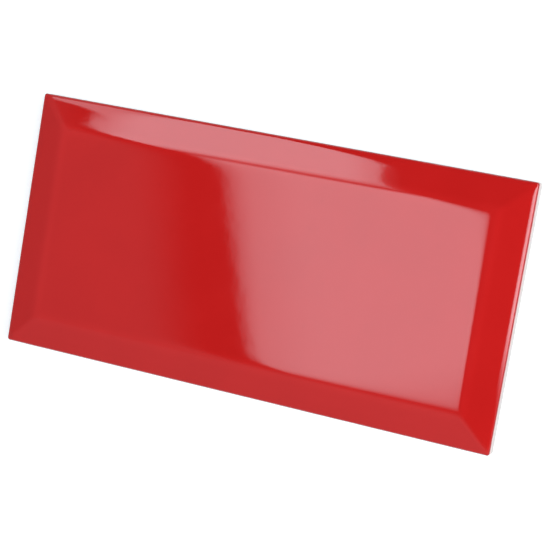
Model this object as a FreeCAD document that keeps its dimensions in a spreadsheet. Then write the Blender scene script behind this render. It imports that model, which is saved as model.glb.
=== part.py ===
import FreeCAD, Part
import math
import os

import Sketcher
from FreeCAD import Vector

# A bevelled subway wall tile, pressed and fired as one piece and glazed on its face.
# It lies on its back. The origin is the middle of the back, +X runs along the tile,
# +Y across it and +Z out of the glazed face.

# Driving dimensions in millimetres: name, value, meaning
SIZES = (
    ("tile_length", 198.0, "work size along X: a 200 mm module less its joint"),
    ("tile_width", 98.0, "work size along Y: a 100 mm module less its joint"),
    ("edge_height", 5.8, "back to where the bevel would meet the side, unrounded"),
    ("bevel_rise", 2.7, "side to flat field, in height"),
    ("bevel_width", 12.5, "side to flat field, seen from above"),
    ("ridge_radius", 8.0, "rounding of the bevels' upper edges and their mitres"),
    ("arris_radius", 1.4, "rounding between side and bevel"),
    ("corner_radius", 1.4, "upright corners of the tile, seen from above"),
    ("back_chamfer", 0.5, "small bevel round the edge of the back"),
    ("back_rim", 8.0, "least plain margin round the keyed grid"),
    ("key_side", 10.5, "opening of one square key in the back"),
    ("rib_width", 2.5, "rib left between two keys"),
    ("key_depth", 0.8, "depth of a key"),
    ("key_draft", 30.0, "lean of a key's walls, in degrees"),
)
SHEET = "Sizes"
VALUE = {name: value for name, value, meaning in SIZES}

# Points of a sketch element: its ends and, for an arc, its centre
START, END, CENTRE = 1, 2, 3
# A sketch's own origin: the first point of its horizontal axis
SKETCH_AXIS, SKETCH_ORIGIN = -1, 1

LEVEL_TOLERANCE = 1e-4
UPRIGHT_TOLERANCE = 1e-6


def size(name):
    """A driving dimension, as an expression reads it."""
    return f"{SHEET}.{name}"


def full_height():
    """The back to the flat field, as an expression."""
    return f"{size('edge_height')} + {size('bevel_rise')}"


def fill_sheet(doc):
    """The spreadsheet that drives every feature."""
    sheet = doc.addObject("Spreadsheet::Sheet", SHEET)
    for row, (name, value, meaning) in enumerate(SIZES, start=1):
        sheet.set(f"A{row}", name)
        sheet.set(f"B{row}", str(value))
        sheet.set(f"C{row}", meaning)
        sheet.setAlias(f"B{row}", name)
    doc.recompute()
    return sheet


def origin_feature(body, role):
    """A plane or axis of the body's own origin."""
    for feature in body.Origin.OriginFeatures:
        if feature.Role == role:
            return feature
    raise ValueError(f"the origin has no {role}")


def new_sketch(body, name, plane, place):
    """An empty sketch on an origin plane. place maps x, y or z to an expression."""
    sketch = body.newObject("Sketcher::SketchObject", name)
    sketch.AttachmentSupport = (origin_feature(body, plane), [""])
    sketch.MapMode = "FlatFace"
    for axis, expression in place.items():
        sketch.setExpression(f".AttachmentOffset.Base.{axis}", expression)
    return sketch


def draw_polygon(sketch, corners):
    """A closed run of lines, each joined to the next."""
    lines = []
    for corner, after in zip(corners, corners[1:] + corners[:1]):
        lines.append(sketch.addGeometry(Part.LineSegment(corner, after), False))
    return lines, [("Coincident", a, END, b, START) for a, b in zip(lines, lines[1:] + lines[:1])]


def constrain(sketch, rules, measures):
    """Fixes the shape by rules, and its size by measures bound to expressions."""
    for rule in rules:
        sketch.addConstraint(Sketcher.Constraint(*rule))
    for measure, expression in measures:
        index = sketch.addConstraint(Sketcher.Constraint(*measure))
        sketch.setExpression(f"Constraints[{index}]", expression)


def draw_rounded_rectangle(sketch, half_x, half_y, radius):
    """Four lines and four arcs, both anticlockwise from the lower side and corner."""
    x = half_x - radius
    y = half_y - radius
    ends = (
        (Vector(-x, -half_y, 0), Vector(x, -half_y, 0)),
        (Vector(half_x, -y, 0), Vector(half_x, y, 0)),
        (Vector(x, half_y, 0), Vector(-x, half_y, 0)),
        (Vector(-half_x, y, 0), Vector(-half_x, -y, 0)),
    )
    centres = (Vector(x, -y, 0), Vector(x, y, 0), Vector(-x, y, 0), Vector(-x, -y, 0))
    quarter = math.pi / 2
    lines = [sketch.addGeometry(Part.LineSegment(*pair), False) for pair in ends]
    arcs = []
    for turn, centre in enumerate(centres, start=-1):
        circle = Part.Circle(centre, Vector(0, 0, 1), radius)
        arc = Part.ArcOfCircle(circle, turn * quarter, (turn + 1) * quarter)
        arcs.append(sketch.addGeometry(arc, False))
    return lines, arcs


def outline_sketch(body):
    """The tile seen from above: a rectangle with small round corners."""
    length, width, radius = VALUE["tile_length"], VALUE["tile_width"], VALUE["corner_radius"]
    sketch = new_sketch(body, "Outline", "XY_Plane", {})
    lines, arcs = draw_rounded_rectangle(sketch, length / 2, width / 2, radius)
    bottom, right, top, left = lines
    rules = []
    for before, arc, after in zip(lines, arcs, lines[1:] + lines[:1]):
        rules.append(("Tangent", before, END, arc, START))
        rules.append(("Tangent", arc, END, after, START))
    rules += [("Equal", arcs[0], arc) for arc in arcs[1:]]
    rules += [("Horizontal", bottom), ("Horizontal", top), ("Vertical", right), ("Vertical", left)]
    rules.append(("Symmetric", arcs[0], CENTRE, arcs[2], CENTRE, SKETCH_AXIS, SKETCH_ORIGIN))
    measures = (
        (("Radius", arcs[0], radius), size("corner_radius")),
        (("DistanceX", left, START, right, START, length), size("tile_length")),
        (("DistanceY", bottom, START, top, START, width), size("tile_width")),
    )
    constrain(sketch, rules, measures)
    return sketch


def wedge_sketch(body, name, plane, extent):
    """What a bevel takes off, seen end on: a right triangle in the upper outer corner."""
    sketch = new_sketch(body, name, plane, {})
    half = VALUE[extent] / 2
    foot = VALUE["edge_height"]
    rise = VALUE["bevel_rise"]
    width = VALUE["bevel_width"]
    low = Vector(half, foot, 0)
    outer = Vector(half, foot + rise, 0)
    inner = Vector(half - width, foot + rise, 0)
    lines, rules = draw_polygon(sketch, [low, outer, inner])
    side, top, slope = lines
    rules += [("Vertical", side), ("Horizontal", top)]
    origin = (SKETCH_AXIS, SKETCH_ORIGIN)
    measures = (
        (("DistanceX", *origin, side, END, half), f"{size(extent)} / 2"),
        (("DistanceY", *origin, side, END, foot + rise), full_height()),
        (("DistanceX", top, END, top, START, width), size("bevel_width")),
        (("DistanceY", side, START, side, END, rise), size("bevel_rise")),
    )
    constrain(sketch, rules, measures)
    return sketch


def key_sketch(body, place):
    """The square opening of the first key, centred on the sketch's own origin."""
    sketch = new_sketch(body, "KeyOpening", "XY_Plane", place)
    side = VALUE["key_side"]
    half = side / 2
    ends = ((-half, -half), (half, -half), (half, half), (-half, half))
    lines, rules = draw_polygon(sketch, [Vector(x, y, 0) for x, y in ends])
    bottom, right, top, left = lines
    rules += [("Horizontal", bottom), ("Horizontal", top), ("Vertical", right), ("Vertical", left)]
    rules.append(("Equal", bottom, right))
    rules.append(("Symmetric", bottom, START, top, START, SKETCH_AXIS, SKETCH_ORIGIN))
    measures = [(("DistanceX", bottom, START, bottom, END, side), size("key_side"))]
    constrain(sketch, rules, measures)
    return sketch


def raise_blank(body):
    """A plain block with upright sides and round upright corners."""
    blank = body.newObject("PartDesign::Pad", "Blank")
    blank.Profile = outline_sketch(body)
    blank.setExpression("Length", full_height())
    return blank


def cut_bevel(body, name, plane, extent, run, mirror):
    """One bevel over the whole run of the block, and its mirror image opposite."""
    bevel = body.newObject("PartDesign::Pocket", f"{name}Bevel")
    bevel.Profile = wedge_sketch(body, f"{name}Wedge", plane, extent)
    bevel.SideType = "Symmetric"
    bevel.setExpression("Length", size(run))
    body.Document.recompute()

    pair = body.newObject("PartDesign::Mirrored", f"{name}Bevels")
    pair.Originals = [bevel]
    pair.MirrorPlane = (origin_feature(body, mirror), [""])
    body.Tip = pair
    body.Document.recompute()
    return pair


def edge_names(shape, wanted):
    """Names of the shape's edges that pass a test."""
    return [f"Edge{n}" for n, edge in enumerate(shape.Edges, start=1) if wanted(edge)]


def upright(face):
    """Whether a face is part of the tile's sides."""
    first_u, last_u, first_v, last_v = face.ParameterRange
    normal = face.normalAt((first_u + last_u) / 2, (first_v + last_v) / 2)
    return abs(normal.z) < UPRIGHT_TOLERANCE


def dressed_edges(body, kind, name, base, edges, measure, dimension):
    """A fillet or chamfer on some edges of the last feature."""
    feature = body.newObject(kind, name)
    feature.Base = (base, edges)
    feature.setExpression(measure, size(dimension))
    body.Document.recompute()
    return feature


def ease_edges(body, bevelled, sheet):
    """Rounds the ridges, mitres and arris, and takes the sharp edge off the back."""
    fillet = "PartDesign::Fillet"
    field_height = sheet.edge_height + sheet.bevel_rise

    def on_top(edge):
        return abs(edge.BoundBox.ZMax - field_height) < LEVEL_TOLERANCE

    ridges = edge_names(bevelled.Shape, on_top)
    ridge = dressed_edges(body, fillet, "Ridges", bevelled, ridges, "Radius", "ridge_radius")

    sides = [edge for face in ridge.Shape.Faces if upright(face) for edge in face.Edges]

    def round_the_sides(edge):
        above = edge.BoundBox.ZMin > LEVEL_TOLERANCE
        return above and any(edge.isSame(side) for side in sides)

    arrises = edge_names(ridge.Shape, round_the_sides)
    arris = dressed_edges(body, fillet, "Arris", ridge, arrises, "Radius", "arris_radius")

    def on_back(edge):
        return edge.BoundBox.ZMax < LEVEL_TOLERANCE

    rim = edge_names(arris.Shape, on_back)
    return dressed_edges(
        body, "PartDesign::Chamfer", "BackEdge", arris, rim, "Size", "back_chamfer"
    )


def key_back(body):
    """The grid of shallow square keys that the adhesive grips, centred on the back.

    Each run holds as many keys as fit between the rims."""
    pitch = f"({size('key_side')} + {size('rib_width')})"

    def count(extent):
        room = f"({size(extent)} - 2 * {size('back_rim')} + {size('rib_width')})"
        return f"floor({room} / {pitch})"

    def first(extent):
        return f"-({count(extent)} - 1) * {pitch} / 2"

    key = body.newObject("PartDesign::Pocket", "Key")
    key.Profile = key_sketch(body, {"x": first("tile_length"), "y": first("tile_width")})
    key.Reversed = True
    key.setExpression("Length", size("key_depth"))
    key.setExpression("TaperAngle", f"-1 * {size('key_draft')}")
    body.Document.recompute()

    grid = body.newObject("PartDesign::MultiTransform", "KeyGrid")
    grid.Originals = [key]
    directions = (("Along", "X_Axis", "tile_length"), ("Across", "Y_Axis", "tile_width"))
    runs = []
    for name, axis, extent in directions:
        run = body.newObject("PartDesign::LinearPattern", f"Keys{name}")
        run.Direction = (origin_feature(body, axis), [""])
        run.Mode = "Spacing"
        run.setExpression("Offset", pitch)
        run.setExpression("Occurrences", count(extent))
        runs.append(run)
    grid.Transformations = runs
    body.Tip = grid
    body.Document.recompute()
    return key, runs


def check(doc, body, plain, key, runs):
    """Every feature is sound, and every key takes as much out of the back as the first."""
    for obj in doc.Objects:
        if "Invalid" in obj.State or "Error" in obj.State:
            raise RuntimeError(f"{obj.Name} failed: {obj.State}")
    shape = body.Shape
    if shape.isNull() or not shape.isValid() or len(shape.Solids) != 1:
        raise RuntimeError("the tile isn't one valid solid")
    one = plain.Shape.Volume - key.Shape.Volume
    taken = plain.Shape.Volume - shape.Volume
    keys = math.prod(run.Occurrences for run in runs)
    print(f"volume {shape.Volume:.0f} mm3, {keys} keys of {one:.1f} mm3")
    if one <= 0 or abs(taken - keys * one) > one / 2:
        raise RuntimeError(f"the keys took {taken:.1f} mm3")


def build():
    doc = FreeCAD.newDocument("SubwayTile")
    sheet = fill_sheet(doc)
    body = doc.addObject("PartDesign::Body", "Tile")
    body.Label = "tile"
    body.Placement = FreeCAD.Placement(Vector(0, 0, 0), FreeCAD.Rotation())
    raise_blank(body)
    cut_bevel(body, "End", "XZ_Plane", "tile_length", "tile_width", "YZ_Plane")
    bevelled = cut_bevel(body, "Side", "YZ_Plane", "tile_width", "tile_length", "XZ_Plane")
    plain = ease_edges(body, bevelled, sheet)
    key, runs = key_back(body)
    check(doc, body, plain, key, runs)
    os.makedirs("parts", exist_ok=True)
    body.Shape.exportStep(f"parts/{body.Label}.step")


build()
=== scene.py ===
import math
from collections import namedtuple

import bpy
import numpy as np
from mathutils import Matrix, Vector, noise

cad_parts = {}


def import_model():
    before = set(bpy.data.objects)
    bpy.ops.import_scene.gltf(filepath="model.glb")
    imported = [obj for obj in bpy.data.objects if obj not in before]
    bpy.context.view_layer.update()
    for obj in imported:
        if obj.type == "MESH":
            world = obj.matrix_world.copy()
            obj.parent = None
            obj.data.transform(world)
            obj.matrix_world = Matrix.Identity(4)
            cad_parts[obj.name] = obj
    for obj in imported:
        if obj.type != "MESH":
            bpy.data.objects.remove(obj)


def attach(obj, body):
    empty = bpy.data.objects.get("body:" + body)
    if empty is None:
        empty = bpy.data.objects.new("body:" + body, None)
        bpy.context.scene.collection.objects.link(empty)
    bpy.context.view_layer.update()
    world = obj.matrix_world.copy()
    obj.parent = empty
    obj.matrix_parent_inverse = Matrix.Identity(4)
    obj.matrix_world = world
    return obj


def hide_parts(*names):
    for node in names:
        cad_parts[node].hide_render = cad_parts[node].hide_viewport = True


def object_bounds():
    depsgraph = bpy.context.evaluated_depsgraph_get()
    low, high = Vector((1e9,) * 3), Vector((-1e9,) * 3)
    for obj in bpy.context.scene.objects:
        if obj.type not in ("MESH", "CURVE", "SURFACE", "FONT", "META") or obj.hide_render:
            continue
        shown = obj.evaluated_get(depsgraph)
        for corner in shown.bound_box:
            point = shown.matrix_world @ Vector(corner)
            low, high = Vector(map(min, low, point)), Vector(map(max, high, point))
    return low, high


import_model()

cad_box = [list(corner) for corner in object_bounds()]

MM = 0.001

# Sizes of the tile, in millimetres, with the overall ones from the frame
HALF_X, HALF_Y, FIELD_Z = (round(value / MM, 3) for value in cad_box[1])
BEVEL_WIDTH = 12.5
BEVEL_RISE = 2.7
BEVEL_SLOPE = BEVEL_RISE / BEVEL_WIDTH

# Upright corners: their radius at the outline, what it loses per millimetre of inset, and at the field
CORNER = 1.0
CORNER_LOSS = 0.65
RIDGE_CORNER = 2.4

# Rounded arris between side and bevel: radius, height of its centre and the angles of its rings
ARRIS = 1.4
ARRIS_Z = 4.670
ARRIS_DEGREES = (18.0, 24.0, 30.0, 36.0, 42.0, 48.0, 54.0, 60.0, 65.0, 69.5)
ARRIS_END = math.radians(ARRIS_DEGREES[-1])
ARRIS_END_INSET = ARRIS - ARRIS * math.cos(ARRIS_END)
ARRIS_END_Z = ARRIS_Z + ARRIS * math.sin(ARRIS_END)

# Bare side wall: inset and height of its rings, from the eased chamfer round the back up to the lip
CHAMFER = 0.5
WALL_INSET = 0.08
CHAMFER_FOOT = WALL_INSET + CHAMFER
CHAMFER_RINGS = (
    (CHAMFER_FOOT + 0.08, 0.0), (CHAMFER_FOOT - 0.02, 0.0), (CHAMFER_FOOT - 0.07, 0.02),
    (WALL_INSET + 0.05, CHAMFER - 0.10), (WALL_INSET + 0.01, CHAMFER - 0.04), (WALL_INSET, CHAMFER + 0.04))
WALL_HEIGHTS = (1.4, 2.3, 3.2, 4.0, 4.45)

# The mesh has two materials, numbered in this order
GLAZE, BISCUIT = 0, 1

# Lip of the glaze: height of the line where it ends, then inset and rise above the line of its rings
GLAZE_LINE_Z = 4.87
LIP_RINGS = ((WALL_INSET, -0.05, BISCUIT), (WALL_INSET, 0.0, BISCUIT),
             (0.045, 0.012, GLAZE), (0.018, 0.045, GLAZE), (0.008, 0.10, GLAZE))

# Insets of the rings from the bevel's foot over the ridge to the field, close together at the ridge
FACE_INSETS = (
    1.0, 1.12, 1.26, 1.45, 1.7, 2.0, 2.4, 2.9, 3.6, 4.4, 5.4, 6.5, 7.6, 8.6, 9.4, 10.0, 10.5, 10.9,
    11.25, 11.55, 11.85, 12.1, 12.35, 12.6, 12.9, 13.25, 13.65, 14.1, 14.6, 15.2, 16.0, 17.0, 18.2,
    19.6, 21.0, 22.5)
SQUARE_FROM = 14.4
FIELD_INSET = 24.0

# Fired face: where the ridge lies, the widths of its sharp bend and of its soft tail, and the tail's share
RIDGE_AT = 12.14
RIDGE_SOFT = 0.74
RIDGE_TAIL = 1.51
TAIL_SHARE = 0.135
# Extra fall towards the arris, width of the blend at the mitres, and how far the field lies under the top
EDGE_SLOPE = 0.448
EDGE_REACH = 0.88
MITRE_BLEND = 1.8
FACE_SETTLE = 0.03

# Waves in the glaze and in its lower line: length, height, and a slice of the noise for each
Waves = namedtuple("Waves", "length height slice")
FACE_SWELL = Waves(31.0, 0.010, 3.7)
FACE_RIPPLE = Waves(12.0, 0.002, 9.1)
LINE_SWELL = Waves(7.0, 0.10, 1.3)
LINE_RIPPLE = Waves(1.9, 0.03, 5.2)

# Keys of the back, as many as fit between the rims
KEY_SIDE = 10.5
RIB_WIDTH = 2.5
BACK_RIM = 8.0
KEY_PITCH = KEY_SIDE + RIB_WIDTH
KEYS_X = int((2.0 * HALF_X - 2.0 * BACK_RIM + RIB_WIDTH) // KEY_PITCH)
KEYS_Y = int((2.0 * HALF_Y - 2.0 * BACK_RIM + RIB_WIDTH) // KEY_PITCH)
KEY_HALF = KEY_SIDE / 2.0
KEY_DEPTH = 0.8
KEY_DRAFT = math.tan(math.radians(30.0))
# Rounding of the keys' edges, and how far it reaches outwards
KEY_SOFT = 0.05
KEY_SPREAD = 0.09
# Grid lines from a key's edge inwards, and round its middle, and the grid's reach past the outer keys
KEY_EDGE_LINES = (-0.10, -0.03, 0.06, 0.20, 0.34, 0.43, 0.52)
KEY_MIDDLE_LINES = (-2.4, 0.0, 2.4)
BACK_MARGIN = 0.5

# Mesh counts along the sides and round each corner
SEGMENTS_X = 150
SEGMENTS_Y = 74
SEGMENTS_ARC = 8

# Bands of the glaze over the face, by inset, and down the side, by height, in millimetres; the ridge band
# also carries a painted sheen, the roll band painted shade
RIDGE_SHEEN_BAND = (8.8, 12.2, 15.6)
RIDGE_SHEEN_BAND_MITRE = 2.0
ROLL_SHADE_BAND = (5.62, 5.15)
LIP_BAND = (5.14, 5.00)
FLUSH_BAND = (2.6, 5.6)
FLUSH_UNEVEN = 1.6

# Colours, in linear light
GLAZE_DEEP = (0.529, 0.0098, 0.0084)
GLAZE_CLEAR = (0.549, 0.0106, 0.0091)
GLAZE_SPECK = (0.488, 0.0090, 0.0075)
# Lighter red over the ridge: partly thinner glaze, partly a painted sheen of light
GLAZE_THIN_AND_SHEEN_ON_RIDGE = (0.580, 0.0130, 0.0115)
# Darker red in the roll along the glaze's lower edge: partly thicker glaze, partly painted shade
GLAZE_ROLL_AND_SHADE = (0.330, 0.0075, 0.0085)
GLAZE_AT_LIP = (0.80, 0.42, 0.40)
BODY_DARK = (0.77, 0.69, 0.63)
BODY_LIGHT = (0.80, 0.74, 0.69)
BODY_GRAIN = (0.62, 0.53, 0.48)
BODY_FLUSH = (0.84, 0.58, 0.54)
FLOOR_COLOUR = (0.55, 0.55, 0.55)
LAMP_COLOUR = (0.92, 1.0, 1.09)
SKY_COLOUR = (0.97, 1.0, 1.06)
WHITE = (1.0, 1.0, 1.0)

# Floor, in metres: half its side, the gap that keeps it just clear of the tile, and its glow
FLOOR_HALF = 6.0
FLOOR_GAP = 0.0001
FLOOR_GLOW_FROM = 0.25
FLOOR_GLOW_TO = 1.6
FLOOR_GLOW = 0.58

# World, as levels on a ceiling one metre up: a ray's least climb, the paler left's slant, front and room
LEAST_UP = 0.05
LEFT_SLANT = 0.264
FRONT_LEVEL = 0.585
FRONT_GAIN = 0.195
FRONT_GAIN_FROM = -1.0
FRONT_MOST = 0.635
ROOM_LEVEL = 0.054

# Camera, fitted to the outline and the ridges in the photo
LENS = 109.65119
SENSOR = 36.0
CAMERA_RIGHT = (0.91509789, 0.16650463, -0.36724931)
CAMERA_UP = (-0.19555601, 0.97974591, -0.04307881)
CAMERA_BACK = (0.35263820, 0.11123914, 0.92912441)
CAMERA_PLACE = (0.22585045, 0.06695903, 0.57960155)


# Shape of the face
def waves_at(x, y, kind):
    """Height of one kind of waves at one point, in millimetres."""
    return kind.height * noise.noise(Vector((x / kind.length, y / kind.length, kind.slice)))


def undulation(xs, ys):
    """Waviness of the fired glaze at each point, in millimetres."""
    return np.array([waves_at(x, y, FACE_SWELL) + waves_at(x, y, FACE_RIPPLE) for x, y in zip(xs, ys)])


def soft_ramp(value, width):
    """Zero below zero and the value itself above, with a bend about as wide as width."""
    return width * np.logaddexp(0.0, value / width)


def face_height(x, y):
    """Height of the glazed face over each point of the plan, without its waviness."""
    from_end = HALF_X - np.abs(x)
    from_side = HALF_Y - np.abs(y)
    near_mitre = np.clip(MITRE_BLEND - np.abs(from_end - from_side), 0.0, None) / MITRE_BLEND
    inset = np.minimum(from_end, from_side) - near_mitre * near_mitre * MITRE_BLEND / 4.0
    sharp = soft_ramp(RIDGE_AT - inset, RIDGE_SOFT)
    tail = soft_ramp(RIDGE_AT - inset, RIDGE_TAIL)
    drop = BEVEL_SLOPE * ((1.0 - TAIL_SHARE) * sharp + TAIL_SHARE * tail)
    drop = drop + EDGE_SLOPE * EDGE_REACH * np.exp(-inset / EDGE_REACH)
    return FIELD_Z - FACE_SETTLE - drop


# Outlines of the rings, counter-clockwise, where sides 0 and 2 run along Y and 1 and 3 along X
def rectangle(inset):
    """Corners of the outline at an inset, from the lower right one."""
    reach_x = HALF_X - inset
    reach_y = HALF_Y - inset
    return ((reach_x, -reach_y), (reach_x, reach_y), (-reach_x, reach_y), (-reach_x, -reach_y))


def corner_at(inset):
    """Radius of the upright corners at a small inset."""
    return CORNER - CORNER_LOSS * inset


def side_segments(side):
    return SEGMENTS_Y if side % 2 == 0 else SEGMENTS_X


def on_circle(centre, radius, angle):
    return (centre[0] + radius * math.cos(angle), centre[1] + radius * math.sin(angle))


def straight(start, end, count):
    """Evenly spaced points of a line, without its end point."""
    steps = [i / count for i in range(count)]
    return [(start[0] + (end[0] - start[0]) * s, start[1] + (end[1] - start[1]) * s) for s in steps]


def ring_plan(inset, corner):
    """Points of a rounded rectangle, from the middle of the lower right corner."""
    centres = rectangle(inset + corner)
    half_arc = SEGMENTS_ARC // 2
    eighth = math.pi / 4.0
    points = []
    for side in range(4):
        here = centres[side]
        there = centres[(side + 1) % 4]
        facing = side * 2.0 * eighth
        turns = [facing + eighth * i / half_arc for i in range(half_arc)]
        points += [on_circle(here, corner, turn - eighth) for turn in turns]
        start = on_circle(here, corner, facing)
        end = on_circle(there, corner, facing)
        points += straight(start, end, side_segments(side))
        points += [on_circle(there, corner, turn) for turn in turns]
    return np.array(points)


def ring_square(inset):
    """The same count of points, evenly spaced along a rectangle with sharp corners."""
    corners = rectangle(inset)
    points = []
    for side in range(4):
        points += straight(corners[side], corners[(side + 1) % 4], side_segments(side) + SEGMENTS_ARC)
    return np.array(points)


# Mesh of the tile
class Shell:
    """Points and faces of the tile, gathered ring by ring."""

    def __init__(self):
        self.points = []
        self.faces = []
        self.slots = []
        self.rings = []

    def add(self, x, y, z):
        """Adds points and gives their numbers."""
        start = len(self.points)
        self.points.extend(zip(x.tolist(), y.tolist(), z.tolist()))
        return list(range(start, start + len(x)))

    def face(self, corners, slot):
        self.faces.append(corners)
        self.slots.append(slot)

    def ring(self, plan, z, slot):
        """Adds a ring of points. The band that leads up to it has the slot's material."""
        self.rings.append((self.add(plan[:, 0], plan[:, 1], z), slot))

    def band(self, lower, upper, slot):
        """Joins two rings of equally many points."""
        count = len(lower)
        for i in range(count):
            j = (i + 1) % count
            self.face((lower[i], lower[j], upper[j], upper[i]), slot)

    def join_rings(self):
        for (lower, _), (upper, slot) in zip(self.rings, self.rings[1:]):
            self.band(lower, upper, slot)

    def grid(self, xs, ys, height, slot, facing_up):
        """Adds a grid and gives its sides, counter-clockwise from the lower right corner."""
        grid_x, grid_y = np.meshgrid(xs, ys, indexing="ij")
        flat_x = grid_x.ravel()
        flat_y = grid_y.ravel()
        numbers = np.array(self.add(flat_x, flat_y, height(flat_x, flat_y))).reshape(len(xs), len(ys))
        cells = np.stack((numbers[:-1, :-1], numbers[1:, :-1], numbers[1:, 1:], numbers[:-1, 1:]), axis=-1)
        for a, b, c, d in cells.reshape(-1, 4).tolist():
            self.face((a, b, c, d) if facing_up else (a, d, c, b), slot)
        sides = (numbers[-1, :], numbers[::-1, -1], numbers[0, ::-1], numbers[:, 0])
        return [side.tolist() for side in sides]

    def stitch(self, outer, inner, axis, slot):
        """Joins two rows of points that run along the axis, by triangles, with neither getting ahead."""

        def shares(row):
            values = [self.points[i][axis] for i in row]
            return [(value - values[0]) / (values[-1] - values[0]) for value in values]

        outer_shares = shares(outer)
        inner_shares = shares(inner)
        i = j = 0
        while i < len(outer) - 1 or j < len(inner) - 1:
            inner_done = j == len(inner) - 1
            outer_left = i < len(outer) - 1
            if inner_done or (outer_left and outer_shares[i + 1] <= inner_shares[j + 1]):
                self.face((outer[i], inner[j], outer[i + 1]), slot)
                i += 1
            else:
                self.face((outer[i], inner[j], inner[j + 1]), slot)
                j += 1


def wall_rings(shell):
    """The bare side, from the chamfer round the back up to just under the lip."""
    for inset, z in (*CHAMFER_RINGS, *((WALL_INSET, z) for z in WALL_HEIGHTS)):
        plan = ring_plan(inset, corner_at(inset))
        shell.ring(plan, np.full(len(plan), z), BISCUIT)


def lip_rings(shell):
    """The lip of the glaze, along a slightly uneven line."""
    outline = ring_plan(0.0, CORNER)
    swell = np.array([waves_at(x, y, LINE_SWELL) for x, y in outline])
    ripple = np.array([waves_at(x, y, LINE_RIPPLE) for x, y in outline])
    line = GLAZE_LINE_Z + swell + ripple
    for inset, rise, slot in LIP_RINGS:
        shell.ring(ring_plan(inset, corner_at(inset)), line + rise, slot)


def arris_rings(shell):
    """The rounded arris, which sinks with the mitres at the corners."""
    plan = ring_plan(ARRIS_END_INSET, corner_at(ARRIS_END_INSET))
    sink = face_height(*plan.T) - ARRIS_END_Z
    for degrees in ARRIS_DEGREES:
        angle = math.radians(degrees)
        inset = ARRIS - ARRIS * math.cos(angle)
        plan = ring_plan(inset, corner_at(inset))
        share = (math.sin(angle) / math.sin(ARRIS_END)) ** 2
        z = ARRIS_Z + ARRIS * math.sin(angle) + sink * share + undulation(*plan.T) * share
        shell.ring(plan, z, GLAZE)


def glazed_height(x, y):
    return face_height(x, y) + undulation(x, y)


def face_rings(shell):
    """Bevel, ridge and the rim of the field, where the rings turn square."""
    for inset in FACE_INSETS:
        grown = min((inset - ARRIS_END_INSET) / (BEVEL_WIDTH - ARRIS_END_INSET), 1.0)
        corner = corner_at(ARRIS_END_INSET) * (1.0 - grown) + RIDGE_CORNER * grown
        plan = ring_plan(inset, corner)
        if inset > SQUARE_FROM:
            share = (inset - SQUARE_FROM) / (FIELD_INSET - SQUARE_FROM)
            plan = plan * (1.0 - share) + ring_square(inset) * share
        shell.ring(plan, glazed_height(*plan.T), GLAZE)


def field(shell):
    """The field, a grid inside the last ring."""
    reach_x = HALF_X - FIELD_INSET
    reach_y = HALF_Y - FIELD_INSET
    xs = np.linspace(-reach_x, reach_x, SEGMENTS_X + SEGMENTS_ARC + 1)
    ys = np.linspace(-reach_y, reach_y, SEGMENTS_Y + SEGMENTS_ARC + 1)
    sides = shell.grid(xs, ys, glazed_height, GLAZE, facing_up=True)
    border = [number for side in sides for number in side[:-1]]
    shell.band(shell.rings[-1][0], border, GLAZE)


def key_lines(keys):
    """Grid lines across the back in one direction, close together at the edges of the keys."""
    lines = []
    for k in range(keys):
        centre = (k - (keys - 1) / 2.0) * KEY_PITCH
        lines += [centre - KEY_HALF + offset for offset in KEY_EDGE_LINES]
        lines += [centre + offset for offset in KEY_MIDDLE_LINES]
        lines += [centre + KEY_HALF - offset for offset in reversed(KEY_EDGE_LINES)]
    reach = (keys - 1) / 2.0 * KEY_PITCH + KEY_HALF + BACK_MARGIN
    return np.array([-reach, *lines, reach])


def inside_key(along, keys):
    """How far each place lies inside the nearest key, in one direction."""
    middle = (keys - 1) / 2.0
    nearest = np.clip(np.round(along / KEY_PITCH + middle), 0, keys - 1) - middle
    return KEY_HALF - np.abs(along - nearest * KEY_PITCH)


def key_depth(x, y):
    """Depth of the back's keys at each point, with slightly rounded edges."""
    inside = np.minimum(inside_key(x, KEYS_X), inside_key(y, KEYS_Y))
    run = KEY_DEPTH * KEY_DRAFT
    depth = (soft_ramp(inside, KEY_SOFT) - soft_ramp(inside - run, KEY_SOFT)) / KEY_DRAFT
    return np.clip(depth * (inside > -KEY_SPREAD), 0.0, KEY_DEPTH)


def keyed_back(shell):
    """The back, a grid with the keys, and the flat rim round it."""
    sides = shell.grid(key_lines(KEYS_X), key_lines(KEYS_Y), key_depth, BISCUIT, facing_up=False)
    foot = shell.rings[0][0]
    at = 0
    for side in range(4):
        count = side_segments(side) + SEGMENTS_ARC
        outer = [foot[(at + i) % len(foot)] for i in range(count + 1)]
        at += count
        shell.stitch(outer, sides[side], 1 if side % 2 == 0 else 0, BISCUIT)


# Shader nodes
def feed(tree, socket, value):
    """Gives a socket a number, a colour or another node's output."""
    if isinstance(value, (int, float)):
        socket.default_value = value
    elif isinstance(value, tuple):
        socket.default_value = (*value, 1.0)
    else:
        tree.links.new(value, socket)


def math_node(tree, operation, *values):
    made = tree.nodes.new("ShaderNodeMath")
    made.operation = operation
    for socket, value in zip(made.inputs, values):
        feed(tree, socket, value)
    return made.outputs[0]


def ramp_between(tree, value, low, high, out_low=0.0, out_high=1.0):
    """Runs smoothly from out_low to out_high while the value runs from low to high."""
    made = tree.nodes.new("ShaderNodeMapRange")
    made.interpolation_type = "SMOOTHSTEP"
    made.inputs["From Min"].default_value = low
    made.inputs["From Max"].default_value = high
    made.inputs["To Min"].default_value = out_low
    made.inputs["To Max"].default_value = out_high
    tree.links.new(value, made.inputs["Value"])
    return made.outputs["Result"]


def noise_node(tree, coords, scale, detail, roughness):
    made = tree.nodes.new("ShaderNodeTexNoise")
    made.inputs["Scale"].default_value = scale
    made.inputs["Detail"].default_value = detail
    made.inputs["Roughness"].default_value = roughness
    tree.links.new(coords, made.inputs["Vector"])
    return made.outputs["Fac"]


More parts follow.
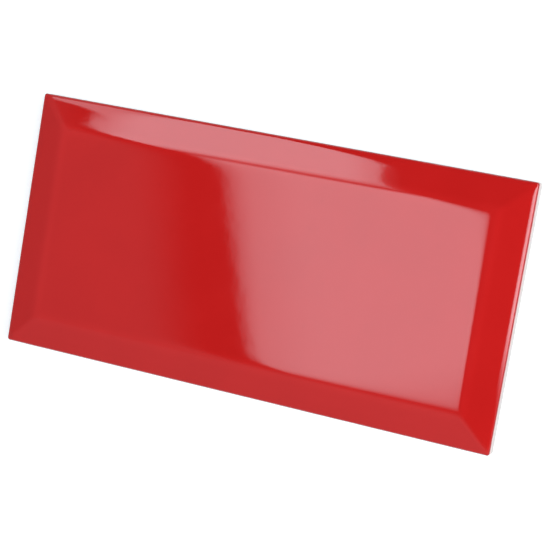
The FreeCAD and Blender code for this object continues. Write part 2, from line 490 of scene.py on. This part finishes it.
def mix_colour(tree, share, first, second):
    made = tree.nodes.new("ShaderNodeMix")
    made.data_type = "RGBA"
    tree.links.new(share, made.inputs["Factor"])
    # The node's colour sockets are inputs 6 and 7 and output 2
    feed(tree, made.inputs[6], first)
    feed(tree, made.inputs[7], second)
    return made.outputs[2]


def add_bump(tree, shader, height, strength, distance):
    made = tree.nodes.new("ShaderNodeBump")
    made.inputs["Strength"].default_value = strength
    made.inputs["Distance"].default_value = distance
    tree.links.new(height, made.inputs["Height"])
    tree.links.new(made.outputs["Normal"], shader.inputs["Normal"])


def split_vector(tree, vector):
    made = tree.nodes.new("ShaderNodeSeparateXYZ")
    tree.links.new(vector, made.inputs[0])
    return made.outputs


def new_material(name):
    made = bpy.data.materials.new(name)
    made.use_nodes = True
    return made


# Materials of the tile
def ridge_thin_and_sheen_share(tree, place, cloud):
    """Share of the lighter red over the ridge, uneven along its run: partly thinner glaze, partly a
    painted sheen of light along the ridge.
    """
    from_end = math_node(tree, "SUBTRACT", HALF_X * MM, math_node(tree, "ABSOLUTE", place["X"]))
    from_side = math_node(tree, "SUBTRACT", HALF_Y * MM, math_node(tree, "ABSOLUTE", place["Y"]))
    inset = math_node(tree, "SMOOTH_MIN", from_end, from_side, RIDGE_SHEEN_BAND_MITRE * MM)
    start, middle, end = (edge * MM for edge in RIDGE_SHEEN_BAND)
    rise = ramp_between(tree, inset, start, middle)
    fall = ramp_between(tree, inset, end, middle)
    uneven = ramp_between(tree, cloud, low=0.2, high=0.8, out_low=0.35)
    return math_node(tree, "MULTIPLY", math_node(tree, "MULTIPLY", rise, fall), uneven)


def glaze_material():
    """Red glossy glaze, faintly clouded and mottled."""
    made = new_material("glaze_red")
    tree = made.node_tree
    shader = tree.nodes["Principled BSDF"]
    coords = tree.nodes.new("ShaderNodeTexCoord").outputs["Object"]
    place = split_vector(tree, coords)
    cloud = noise_node(tree, coords, scale=38.0, detail=3.0, roughness=0.55)
    mottle = noise_node(tree, coords, scale=420.0, detail=2.0, roughness=0.5)
    red = mix_colour(tree, ramp_between(tree, cloud, low=0.3, high=0.7), GLAZE_DEEP, GLAZE_CLEAR)
    speck = ramp_between(tree, mottle, low=0.62, high=0.80, out_high=0.25)
    red = mix_colour(tree, speck, red, GLAZE_SPECK)
    # The red is lighter over the ridge: partly thinner glaze, partly a painted sheen of light along the
    # ridge
    red = mix_colour(tree, ridge_thin_and_sheen_share(tree, place, cloud), red, GLAZE_THIN_AND_SHEEN_ON_RIDGE)
    # It is darker in the roll along its lower edge: partly glaze gathered thicker there, partly painted
    # shade where the arris turns down away from the light
    top, full = (height * MM for height in ROLL_SHADE_BAND)
    red = mix_colour(tree, ramp_between(tree, place["Z"], low=top, high=full), red, GLAZE_ROLL_AND_SHADE)
    # Its very edge is so thin that the pale body shows through
    top, full = (height * MM for height in LIP_BAND)
    lip = ramp_between(tree, place["Z"], low=top, high=full, out_high=0.85)
    red = mix_colour(tree, lip, red, GLAZE_AT_LIP)
    tree.links.new(red, shader.inputs["Base Color"])
    roughness = ramp_between(tree, cloud, low=0.25, high=0.75, out_low=0.020, out_high=0.038)
    tree.links.new(roughness, shader.inputs["Roughness"])
    shader.inputs["IOR"].default_value = 1.5
    pits = noise_node(tree, coords, scale=300.0, detail=2.0, roughness=0.4)
    add_bump(tree, shader, pits, strength=0.02, distance=0.0002)
    return made


def biscuit_material():
    """Bare fired clay, pale, matt and grainy."""
    made = new_material("biscuit_body")
    tree = made.node_tree
    shader = tree.nodes["Principled BSDF"]
    coords = tree.nodes.new("ShaderNodeTexCoord").outputs["Object"]
    place = split_vector(tree, coords)
    cloud = noise_node(tree, coords, scale=60.0, detail=3.0, roughness=0.6)
    grain = noise_node(tree, coords, scale=2200.0, detail=3.0, roughness=0.6)
    body = mix_colour(tree, ramp_between(tree, cloud, low=0.3, high=0.7), BODY_DARK, BODY_LIGHT)
    speck = ramp_between(tree, grain, low=0.60, high=0.74, out_high=0.35)
    body = mix_colour(tree, speck, body, BODY_GRAIN)
    # A flush of the glaze in the clay, stronger towards the glaze line
    uneven = math_node(tree, "MULTIPLY_ADD", cloud, FLUSH_UNEVEN * MM, place["Z"])
    low, high = (height * MM for height in FLUSH_BAND)
    flush = ramp_between(tree, uneven, low, high, out_high=0.9)
    body = mix_colour(tree, flush, body, BODY_FLUSH)
    tree.links.new(body, shader.inputs["Base Color"])
    shader.inputs["Roughness"].default_value = 0.85
    shader.inputs["Specular IOR Level"].default_value = 0.3
    add_bump(tree, shader, grain, strength=0.35, distance=0.0001)
    return made


def make_tile():
    shell = Shell()
    wall_rings(shell)
    lip_rings(shell)
    arris_rings(shell)
    face_rings(shell)
    shell.join_rings()
    field(shell)
    keyed_back(shell)

    points = np.array(shell.points) * MM
    mesh = bpy.data.meshes.new("glazed_tile")
    mesh.from_pydata(points.tolist(), [], shell.faces)
    mesh.materials.append(glaze_material())
    mesh.materials.append(biscuit_material())
    mesh.polygons.foreach_set("material_index", shell.slots)
    mesh.polygons.foreach_set("use_smooth", [True] * len(shell.faces))
    mesh.update()
    mesh.validate()
    made = bpy.data.objects.new("glazed_tile", mesh)
    bpy.context.scene.collection.objects.link(made)
    return made


# Floor
def floor_material():
    """A matt grey floor that also glows for the camera and in reflections, brighter far away."""
    made = new_material("pale_floor")
    tree = made.node_tree
    tree.nodes.clear()
    out = tree.nodes.new("ShaderNodeOutputMaterial")
    matt = tree.nodes.new("ShaderNodeBsdfDiffuse")
    matt.inputs["Color"].default_value = (*FLOOR_COLOUR, 1.0)
    glow = tree.nodes.new("ShaderNodeEmission")
    path = tree.nodes.new("ShaderNodeLightPath")
    seen = math_node(tree, "MAXIMUM", path.outputs["Is Camera Ray"], path.outputs["Is Glossy Ray"])
    seen = math_node(tree, "MAXIMUM", seen, path.outputs["Is Transmission Ray"])
    length = tree.nodes.new("ShaderNodeVectorMath")
    length.operation = "LENGTH"
    tree.links.new(tree.nodes.new("ShaderNodeTexCoord").outputs["Object"], length.inputs[0])
    far = ramp_between(tree, length.outputs["Value"], FLOOR_GLOW_FROM, FLOOR_GLOW_TO, out_low=FLOOR_GLOW)
    tree.links.new(math_node(tree, "MULTIPLY", seen, far), glow.inputs["Strength"])
    both = tree.nodes.new("ShaderNodeAddShader")
    tree.links.new(matt.outputs[0], both.inputs[0])
    tree.links.new(glow.outputs[0], both.inputs[1])
    tree.links.new(both.outputs[0], out.inputs["Surface"])
    return made


def make_floor():
    mesh = bpy.data.meshes.new("floor")
    corners = ((-1, -1), (1, -1), (1, 1), (-1, 1))
    mesh.from_pydata([(x * FLOOR_HALF, y * FLOOR_HALF, 0.0) for x, y in corners], [], [(0, 1, 2, 3)])
    mesh.materials.append(floor_material())
    made = bpy.data.objects.new("floor", mesh)
    made.location = (0.0, 0.0, -FLOOR_GAP)
    bpy.context.scene.collection.objects.link(made)
    return made


# Edges of a lamp's light, in metres: dark where a x + b y + c is negative, at the level elsewhere
Edge = namedtuple("Edge", "a b c width level", defaults=(1.0,))


def right_of(x, y, slope, width):
    """Edge that keeps what lies to the right of a line through (x, y) that gains slope in x per y."""
    return Edge(1.0, -slope, slope * y - x, width)


def left_of(x, y, slope, width):
    return Edge(-1.0, slope, x - slope * y, width)


def beyond(x, y, slope, width):
    """Edge that keeps what lies beyond a line through (x, y) that gains slope in y per x."""
    return Edge(-slope, 1.0, slope * x - y, width)


def before(x, y, slope, width):
    return Edge(slope, -1.0, y - slope * x, width)


def inward(tree, place, edge):
    """Distance from the edge's line, positive on the lit side."""
    length = math.hypot(edge.a, edge.b)
    along = math_node(tree, "MULTIPLY_ADD", place["X"], edge.a / length, edge.c / length)
    return math_node(tree, "MULTIPLY_ADD", place["Y"], edge.b / length, along)


def joined(tree, rule, masks):
    total = masks[0]
    for mask in masks[1:]:
        total = math_node(tree, rule, total, mask)
    return total


def lit_side(tree, place, edge):
    """Mask of one edge, or of a list of edges, which is lit wherever one of them is."""
    if isinstance(edge, list):
        return joined(tree, "MAXIMUM", [lit_side(tree, place, one) for one in edge])
    half = edge.width / 2.0
    return ramp_between(tree, inward(tree, place, edge), -half, half, out_high=edge.level)


def shape_light(data, edges, fades):
    """Lights only what lies inside all edges. Each fade is an edge, its reach and its lowest level."""
    data.use_nodes = True
    tree = data.node_tree
    tree.nodes.clear()
    out = tree.nodes.new("ShaderNodeOutputLight")
    glow = tree.nodes.new("ShaderNodeEmission")
    place = split_vector(tree, tree.nodes.new("ShaderNodeNewGeometry").outputs["Position"])
    total = joined(tree, "MINIMUM", [lit_side(tree, place, edge) for edge in edges])
    for edge, reach, low in fades:
        mask = ramp_between(tree, inward(tree, place, edge), 0.0, reach, out_low=low)
        total = math_node(tree, "MULTIPLY", total, mask)
    tree.links.new(total, glow.inputs["Strength"])
    tree.links.new(glow.outputs[0], out.inputs["Surface"])


def softbox(name, centre, size, radiance, aim=None, edges=(), fades=()):
    """An area lamp that shines down, or at its aim."""
    data = bpy.data.lights.new(name, "AREA")
    data.shape = "RECTANGLE"
    data.size, data.size_y = size
    data.energy = radiance * math.pi * size[0] * size[1]
    data.color = LAMP_COLOUR
    lamp = bpy.data.objects.new(name, data)
    bpy.context.scene.collection.objects.link(lamp)
    lamp.location = centre
    if aim is not None:
        direction = Vector(aim) - Vector(centre)
        lamp.rotation_euler = direction.to_track_quat("-Z", "Y").to_euler()
    if edges:
        shape_light(data, edges, fades)


def overhead_lamp():
    """Its image fills the right two thirds of the field."""
    left = right_of(-0.4207, -0.0885, slope=-0.28, width=0.022)
    left_bent = right_of(-0.4207, -0.0885, slope=-0.35, width=0.022)
    left_lobe = right_of(-0.4427, -0.0208, slope=-0.50, width=0.022)
    left_upper = right_of(-0.4572, 0.0122, slope=-0.207, width=0.022)
    right = left_of(-0.157, 0.002, slope=-0.371, width=0.052)
    near = beyond(-0.25, -0.260, slope=0.363, width=0.13)
    far = before(-0.30, 0.179, slope=0.344, width=0.13)
    softbox("lamp_overhead", centre=(-0.31, -0.02, 1.0), size=(0.56, 0.64), radiance=4.0,
            edges=([left, left_lobe], [left_bent, left_lobe], left_upper, right, near, far),
            fades=((left, 0.091, 0.79), (left, 0.028, 0.62)))


def behind_lamp():
    """Its image lies along the far bevel, with a notch at its left end."""
    left = right_of(-0.6409, 0.43, slope=0.0, width=0.014)
    notch = right_of(-0.6690, 0.504, slope=-0.69, width=0.016)
    notch_near = before(-0.64, 0.455, slope=0.0, width=0.040)
    strip_end = right_of(-0.7185, 0.586, slope=-0.39, width=0.020)
    left_near = right_of(-0.645, 0.432, slope=-0.50, width=0.020)
    right_far = left_of(-0.3550, 0.562, slope=-0.545, width=0.020)
    right = left_of(-0.3005, 0.432, slope=-0.223, width=0.010)
    right_upright = left_of(-0.3022, 0.44, slope=0.0, width=0.010)
    right_fringe = left_of(-0.2890, 0.432, slope=-0.223, width=0.022)._replace(level=0.13)
    near = beyond(-0.40, 0.264, slope=0.497, width=0.21)
    far = before(-0.50, 0.822, slope=-0.30, width=0.085)
    softbox("lamp_behind", centre=(-0.60, 0.55, 1.002), size=(0.80, 0.80), radiance=4.75,
            edges=([left, notch], [notch_near, notch], [left, strip_end], left_near, right_far,
                   [right, right_upright, right_fringe], near, far),
            fades=((left, 0.060, 0.60), (right, 0.040, 0.74)))


def side_lamp():
    """Lights the right bevel and the right side, from the right."""
    start = right_of(0.600, 0.0, slope=0.0, width=0.127)
    end = left_of(1.30, 0.0, slope=0.0, width=0.12)
    near = beyond(0.0, -0.185, slope=0.0, width=0.12)
    softbox("lamp_side", centre=(0.91, -0.02, 0.86), size=(0.50, 1.49), radiance=7.4,
            aim=(0.157, -0.02, 0.201), edges=(start, end, near))


def fill_lamp():
    """Evens out the light, from beyond the far right corner."""
    softbox("lamp_fill", centre=(0.75, 0.80, 0.90), size=(0.80, 0.80), radiance=2.8, aim=(0.0, 0.0, 0.0))


# World
def make_world():
    """A dim room, paler at the left and in front, and white at the horizon."""
    made = bpy.data.worlds.new("studio")
    bpy.context.scene.world = made
    made.use_nodes = True
    tree = made.node_tree
    background = tree.nodes["Background"]
    x, y, z = split_vector(tree, tree.nodes.new("ShaderNodeTexCoord").outputs["Generated"])
    # Where a ray meets a ceiling one metre up
    up = math_node(tree, "MAXIMUM", z, LEAST_UP)
    across = math_node(tree, "DIVIDE", x, up)
    away = math_node(tree, "DIVIDE", y, up)

    slanted = math_node(tree, "MULTIPLY_ADD", away, LEFT_SLANT, across)
    left = ramp_between(tree, slanted, low=-0.464, high=-0.514)
    left_level = ramp_between(tree, across, low=-0.6, high=-1.4, out_low=0.361, out_high=0.279)
    left = math_node(tree, "MULTIPLY", left, left_level)

    front = ramp_between(tree, away, low=-0.178, high=-0.545)
    gain_at = math_node(tree, "MAXIMUM", across, FRONT_GAIN_FROM)
    front_level = math_node(tree, "MULTIPLY_ADD", gain_at, FRONT_GAIN, FRONT_LEVEL)
    front_level = math_node(tree, "MINIMUM", front_level, FRONT_MOST)
    front = math_node(tree, "MULTIPLY", front, front_level)

    glow = math_node(tree, "ADD", math_node(tree, "MAXIMUM", left, front), ROOM_LEVEL)
    horizon = ramp_between(tree, z, low=0.22, high=0.04)
    glow = math_node(tree, "MAXIMUM", glow, horizon)
    tree.links.new(mix_colour(tree, horizon, SKY_COLOUR, WHITE), background.inputs["Color"])
    tree.links.new(glow, background.inputs["Strength"])


# Camera
def make_camera():
    data = bpy.data.cameras.new("camera")
    data.lens = LENS
    data.sensor_width = SENSOR
    data.sensor_fit = "HORIZONTAL"
    data.clip_start = 0.01
    data.clip_end = 60.0
    made = bpy.data.objects.new("camera", data)
    bpy.context.scene.collection.objects.link(made)
    rows = zip(CAMERA_RIGHT, CAMERA_UP, CAMERA_BACK, CAMERA_PLACE)
    made.matrix_world = Matrix((*rows, (0.0, 0.0, 0.0, 1.0)))
    bpy.context.scene.camera = made


tile = make_tile()
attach(tile, "root")
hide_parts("tile")

floor = make_floor()

overhead_lamp()
behind_lamp()
side_lamp()
fill_lamp()
make_world()
make_camera()

bpy.context.scene.view_settings.view_transform = "Standard"

bpy.context.view_layer.update()
